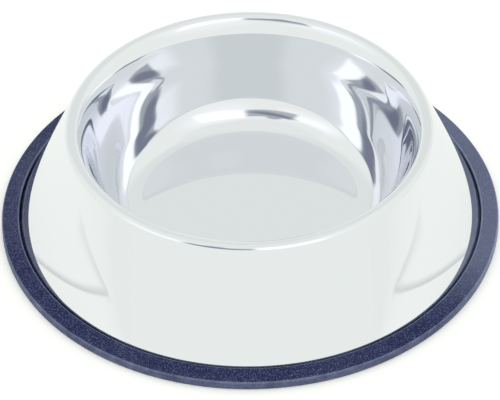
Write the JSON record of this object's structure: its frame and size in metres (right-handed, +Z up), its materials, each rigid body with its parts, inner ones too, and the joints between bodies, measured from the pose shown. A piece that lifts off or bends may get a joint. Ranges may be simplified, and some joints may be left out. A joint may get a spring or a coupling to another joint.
{
  "type": "pet bowl",
  "caption": "Low round pet bowl drawn from polished stainless steel, with a deep basin, a rolled rim, a flared hollow skirt that resists tipping and a rubber ring at its foot.",
  "frame": {"origin": "on the surface that the bowl stands on, below the middle of the basin", "axes": "+Z up along the bowl's axis of turning; +X and +Y are any two square directions across it"},
  "size_m": [0.25, 0.25, 0.0608],
  "materials": {
    "polished_steel": "mirror-polished drawn stainless steel",
    "moulded_rubber": "matte moulded rubber, dark blue-grey with fine pale specks"
  },
  "bodies": {
    "root": {"steel_bowl": "polished_steel", "rubber_ring": "moulded_rubber"}
  },
  "joints": []
}
